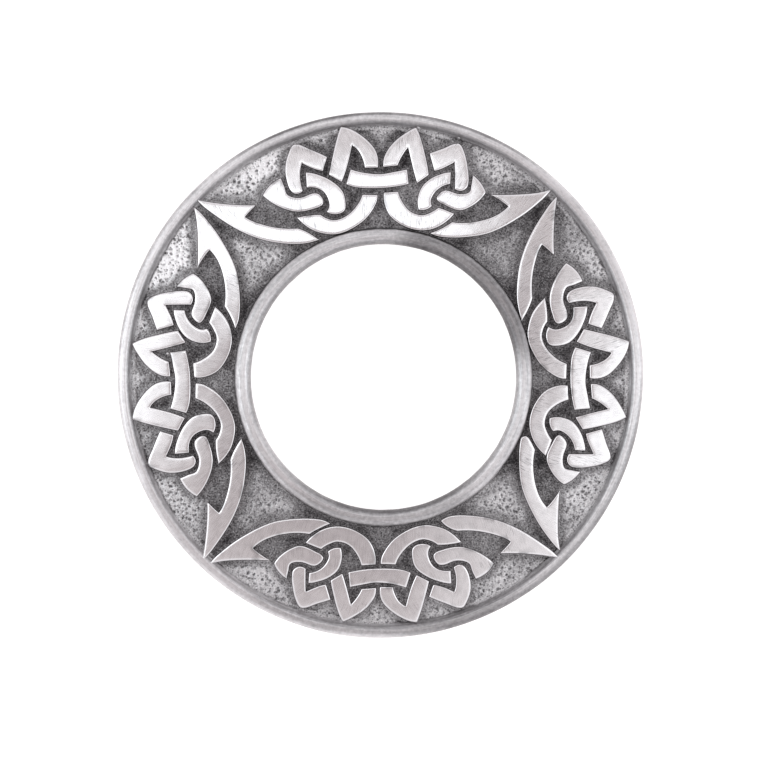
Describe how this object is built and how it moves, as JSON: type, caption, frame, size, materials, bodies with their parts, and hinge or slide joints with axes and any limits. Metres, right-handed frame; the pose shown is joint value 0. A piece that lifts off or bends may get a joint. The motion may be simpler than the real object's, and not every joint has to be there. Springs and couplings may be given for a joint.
{
  "type": "plaid brooch",
  "caption": "Domed ring brooch of cast metal with raised interlaced straps between bead rims round an open centre, and a fastening pin across its hollow back.",
  "frame": {"origin": "middle of the outer rim's resting edge, in the plane that the brooch lies on", "axes": "+Z out of the decorated face, +Y towards the top of the brooch as it is worn, where the pin runs across the back, +X to the right seen from the front"},
  "size_m": [0.076, 0.076, 0.0086],
  "materials": {
    "antiqued_pewter": "brushed satin on the raised faces, near-black patina in the recesses",
    "pin_steel": "satin drawn wire"
  },
  "bodies": {
    "root": {"cast_ring": "antiqued_pewter", "pin_fitting": "pin_steel"}
  },
  "joints": []
}
